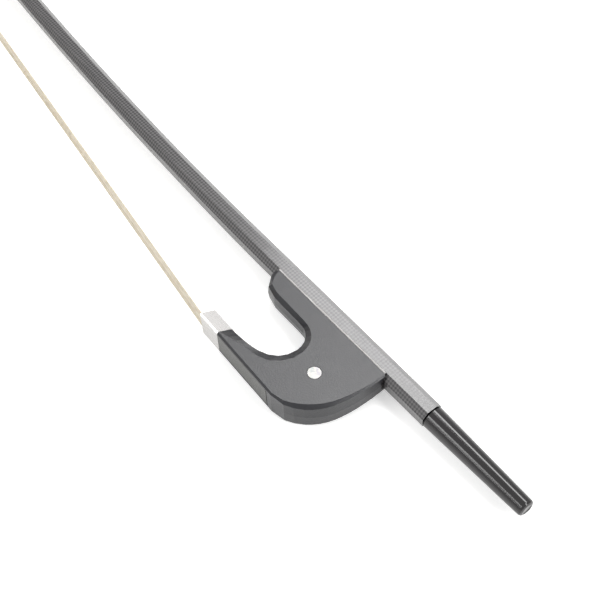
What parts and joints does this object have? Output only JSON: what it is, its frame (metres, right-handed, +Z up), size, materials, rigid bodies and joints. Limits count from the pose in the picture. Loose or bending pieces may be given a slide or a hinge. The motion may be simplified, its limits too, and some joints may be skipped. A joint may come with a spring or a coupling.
{
  "type": "double bass bow",
  "caption": "German-pattern double bass bow: octagonal cambered stick, deep open frog, metal ferrule, hair ribbon and a long screw button that draws the frog back.",
  "frame": {"origin": "middle of the bow's footprint on the table, with the bow on its side", "axes": "+X along the screw from the head to the button, +Y from the hair to the stick, +Z up out of the frog's side"},
  "size_m": [0.7986, 0.109, 0.0203],
  "materials": {
    "carbon_stick": "twill carbon fibre under clear lacquer",
    "nickel_silver": "polished nickel silver",
    "black_fibre": "vulcanised fibre",
    "plug_wood": "maple",
    "binding_thread": "waxed linen thread",
    "horsehair": "natural white horsehair",
    "dark_frog": "satin ebony composite",
    "dark_slide": "fine-grained composite",
    "brass": "machined brass",
    "pearl": "pearl shell",
    "steel": "threaded steel",
    "button_black": "turned and polished ebony composite"
  },
  "bodies": {
    "stick_body": {"stick": "carbon_stick", "tip_plate": "nickel_silver", "tip_plate_liner": "black_fibre", "tip_pin_1": "nickel_silver", "tip_pin_2": "nickel_silver", "head_plug": "plug_wood", "head_hair_knot": "binding_thread", "hair": "horsehair"},
    "screw_body": {"screw": "steel", "button": "button_black"},
    "frog_body": {"frog": "dark_frog", "underslide": "nickel_silver", "underslide_pin_1": "nickel_silver", "underslide_pin_2": "nickel_silver", "ferrule": "nickel_silver", "slide": "dark_slide", "spread_wedge": "plug_wood", "frog_plug": "plug_wood", "frog_hair_knot": "binding_thread", "eyelet": "brass", "pearl_eye_near": "pearl", "pearl_eye_far": "pearl"}
  },
  "joints": [
    {"name": "screw_turn", "type": "hinge", "parent": "stick_body", "child": "screw_body", "pos_m": [0.32632, 0.00629, 0.01016], "axis": [-1, 0, 0], "range_deg": [-2520, 1800]},
    {"name": "frog_slide", "type": "slide", "parent": "stick_body", "child": "frog_body", "axis": [1, 0, 0], "range_m": [-0.0042, 0.003], "deforming": ["hair"]}
  ],
  "couplings": [
    {"joint": "screw_turn", "follows": "frog_slide", "rad_per_m": 10472}
  ]
}
